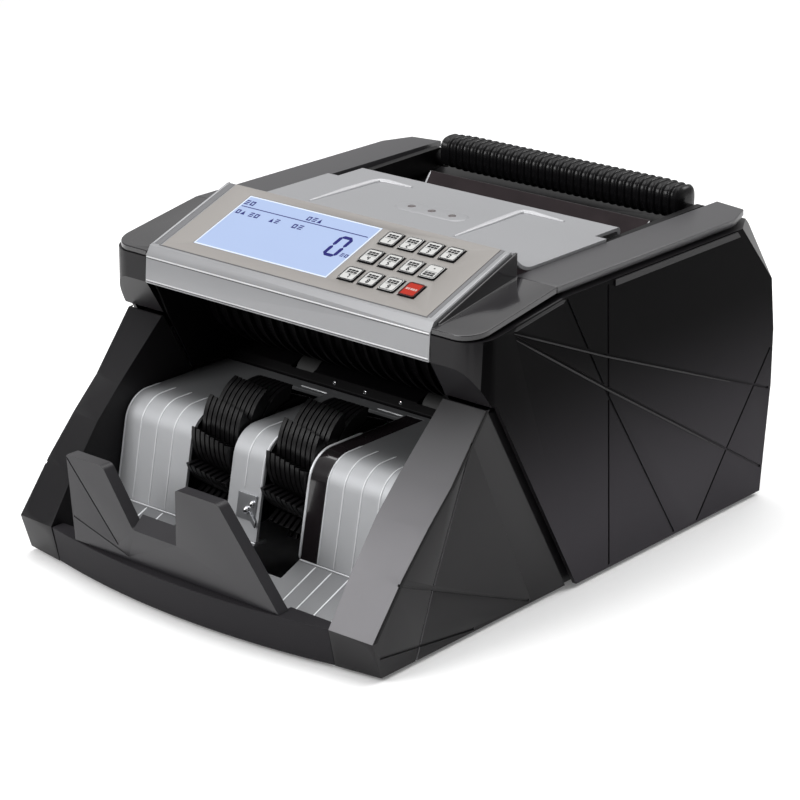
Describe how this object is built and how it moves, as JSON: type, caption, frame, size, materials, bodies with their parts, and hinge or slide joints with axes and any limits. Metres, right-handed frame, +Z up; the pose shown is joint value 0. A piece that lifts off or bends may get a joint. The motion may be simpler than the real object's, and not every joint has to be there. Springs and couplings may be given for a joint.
{
  "type": "banknote counting machine",
  "caption": "Desktop banknote counter: rear hopper with note rest, sloping keypad and display, vaned stacker wheels over an open front pocket, ribbed carry handle.",
  "frame": {"origin": "middle of the footprint on the floor plane", "axes": "+Z up, +Y to the back, +X to the right as seen from the front"},
  "size_m": [0.257, 0.352, 0.1826],
  "materials": {
    "shell": "semi-gloss dark charcoal",
    "rail": "satin grey",
    "gloss_black": "polished",
    "black_plastic": "fine grain",
    "silver_plastic": "silver satin",
    "overlay": "warm light grey film",
    "display": "pale blue glass",
    "key_white": "satin white",
    "key_red": "satin red",
    "rubber": "matt",
    "vane_rubber": "matt",
    "belt_rubber": "matt",
    "smoked_acrylic": "polished",
    "clear_lens": "polished",
    "brushed_silver": "brushed",
    "steel": "bright",
    "steel_plate": "zinc plated",
    "motor_steel": "satin",
    "core_iron": "laminated",
    "circuit_board": "solder mask",
    "brass": "sintered"
  },
  "bodies": {
    "housing": {"front_base": "shell", "wing_left": "shell", "wing_right": "shell", "side_shell_left": "shell", "side_shell_right": "shell", "rear_cover": "shell", "bottom_plate": "steel_plate", "feet": "rubber", "top_rails": "rail", "gloss_pads": "gloss_black", "note_stopper": "gloss_black", "panel_bezel": "silver_plastic", "keypad_overlay": "overlay", "lcd_window": "display", "display_board": "circuit_board", "hopper_plate": "silver_plastic", "hopper_sensors": "clear_lens", "note_rest": "smoked_acrylic", "feed_ramp": "black_plastic", "handle_pivots": "steel", "inner_walls": "black_plastic", "stacker_plate": "brushed_silver", "sensor_strip": "smoked_acrylic", "stacker_tray": "brushed_silver", "stacker_sensor": "steel", "drive_belts": "belt_rubber", "bearings": "brass", "side_frames": "steel_plate", "upper_guide": "black_plastic", "lower_guide": "black_plastic", "retard_pad": "rubber", "motor": "motor_steel", "transformer": "core_iron", "main_board": "circuit_board", "power_inlet": "black_plastic", "switch_housing": "black_plastic", "casing_screws": "steel"},
    "body_key_1": {"key_1": "key_white"},
    "body_key_2": {"key_2": "key_white"},
    "body_key_3": {"key_3": "key_white"},
    "body_key_4": {"key_4": "key_white"},
    "body_key_5": {"key_5": "key_white"},
    "body_key_6": {"key_6": "key_white"},
    "body_key_7": {"key_7": "key_white"},
    "body_key_8": {"key_8": "key_white"},
    "body_key_9": {"key_9": "key_white"},
    "body_key_10": {"key_10": "key_white"},
    "body_key_11": {"key_11": "key_white"},
    "body_key_start": {"key_start": "key_red"},
    "carry_handle": {"handle_grip": "rubber", "handle_arms": "black_plastic"},
    "impeller_assembly": {"impellers": "vane_rubber", "impeller_shaft": "steel"},
    "feed_rollers": {"feed_roller_shaft": "rubber"},
    "pickup_rollers": {"pickup_roller_shaft": "rubber"},
    "transport_rollers": {"transport_roller_shaft": "rubber"},
    "pinch_roller_set": {"pinch_rollers": "rubber"},
    "motor_rotor": {"motor_pulley": "steel"},
    "rocker": {"switch_rocker": "black_plastic"},
    "gap_knob": {"feed_gap_knob": "black_plastic"}
  },
  "joints": [
    {"name": "key_1_press", "type": "slide", "parent": "housing", "child": "body_key_1", "axis": [0, 0.3379, -0.9412], "range_m": [0, 0.0008], "stiffness_N_per_m": 400},
    {"name": "key_2_press", "type": "slide", "parent": "housing", "child": "body_key_2", "axis": [0, 0.3379, -0.9412], "range_m": [0, 0.0008], "stiffness_N_per_m": 400},
    {"name": "key_3_press", "type": "slide", "parent": "housing", "child": "body_key_3", "axis": [0, 0.3379, -0.9412], "range_m": [0, 0.0008], "stiffness_N_per_m": 400},
    {"name": "key_4_press", "type": "slide", "parent": "housing", "child": "body_key_4", "axis": [0, 0.3379, -0.9412], "range_m": [0, 0.0008], "stiffness_N_per_m": 400},
    {"name": "key_5_press", "type": "slide", "parent": "housing", "child": "body_key_5", "axis": [0, 0.3379, -0.9412], "range_m": [0, 0.0008], "stiffness_N_per_m": 400},
    {"name": "key_6_press", "type": "slide", "parent": "housing", "child": "body_key_6", "axis": [0, 0.3379, -0.9412], "range_m": [0, 0.0008], "stiffness_N_per_m": 400},
    {"name": "key_7_press", "type": "slide", "parent": "housing", "child": "body_key_7", "axis": [0, 0.3379, -0.9412], "range_m": [0, 0.0008], "stiffness_N_per_m": 400},
    {"name": "key_8_press", "type": "slide", "parent": "housing", "child": "body_key_8", "axis": [0, 0.3379, -0.9412], "range_m": [0, 0.0008], "stiffness_N_per_m": 400},
    {"name": "key_9_press", "type": "slide", "parent": "housing", "child": "body_key_9", "axis": [0, 0.3379, -0.9412], "range_m": [0, 0.0008], "stiffness_N_per_m": 400},
    {"name": "key_10_press", "type": "slide", "parent": "housing", "child": "body_key_10", "axis": [0, 0.3379, -0.9412], "range_m": [0, 0.0008], "stiffness_N_per_m": 400},
    {"name": "key_11_press", "type": "slide", "parent": "housing", "child": "body_key_11", "axis": [0, 0.3379, -0.9412], "range_m": [0, 0.0008], "stiffness_N_per_m": 400},
    {"name": "key_start_press", "type": "slide", "parent": "housing", "child": "body_key_start", "axis": [0, 0.3379, -0.9412], "range_m": [0, 0.0008], "stiffness_N_per_m": 400},
    {"name": "handle_lift", "type": "hinge", "parent": "housing", "child": "carry_handle", "pos_m": [0, 0.064, 0.161], "axis": [1, 0, 0], "range_deg": [0, 95]},
    {"name": "feed_spin", "type": "hinge", "parent": "housing", "child": "feed_rollers", "pos_m": [0, 0.0295, 0.088], "axis": [1, 0, 0], "continuous": true},
    {"name": "impeller_spin", "type": "hinge", "parent": "housing", "child": "impeller_assembly", "pos_m": [0, -0.0775, 0.0585], "axis": [1, 0, 0], "continuous": true},
    {"name": "pickup_spin", "type": "hinge", "parent": "housing", "child": "pickup_rollers", "pos_m": [0, 0.0725, 0.0945], "axis": [1, 0, 0], "continuous": true},
    {"name": "transport_spin", "type": "hinge", "parent": "housing", "child": "transport_rollers", "pos_m": [0, -0.0135, 0.08], "axis": [1, 0, 0], "continuous": true},
    {"name": "pinch_spin", "type": "hinge", "parent": "housing", "child": "pinch_roller_set", "pos_m": [0, -0.0135, 0.1023], "axis": [1, 0, 0], "continuous": true},
    {"name": "motor_spin", "type": "hinge", "parent": "housing", "child": "motor_rotor", "pos_m": [0, 0.0565, 0.04], "axis": [1, 0, 0], "continuous": true},
    {"name": "power_switch_tilt", "type": "hinge", "parent": "housing", "child": "rocker", "pos_m": [-0.036, 0.1635, 0.032], "axis": [1, 0, 0], "range_deg": [-7, 7]},
    {"name": "gap_knob_turn", "type": "hinge", "parent": "housing", "child": "gap_knob", "pos_m": [0, 0.1715, 0.118], "axis": [0, 1, 0], "range_deg": [-135, 135]}
  ],
  "couplings": [
    {"joint": "impeller_spin", "follows": "feed_spin", "ratio": 0.625},
    {"joint": "pickup_spin", "follows": "feed_spin", "ratio": 1},
    {"joint": "transport_spin", "follows": "feed_spin", "ratio": 2},
    {"joint": "pinch_spin", "follows": "feed_spin", "ratio": -2.4},
    {"joint": "motor_spin", "follows": "feed_spin", "ratio": 2.5}
  ]
}
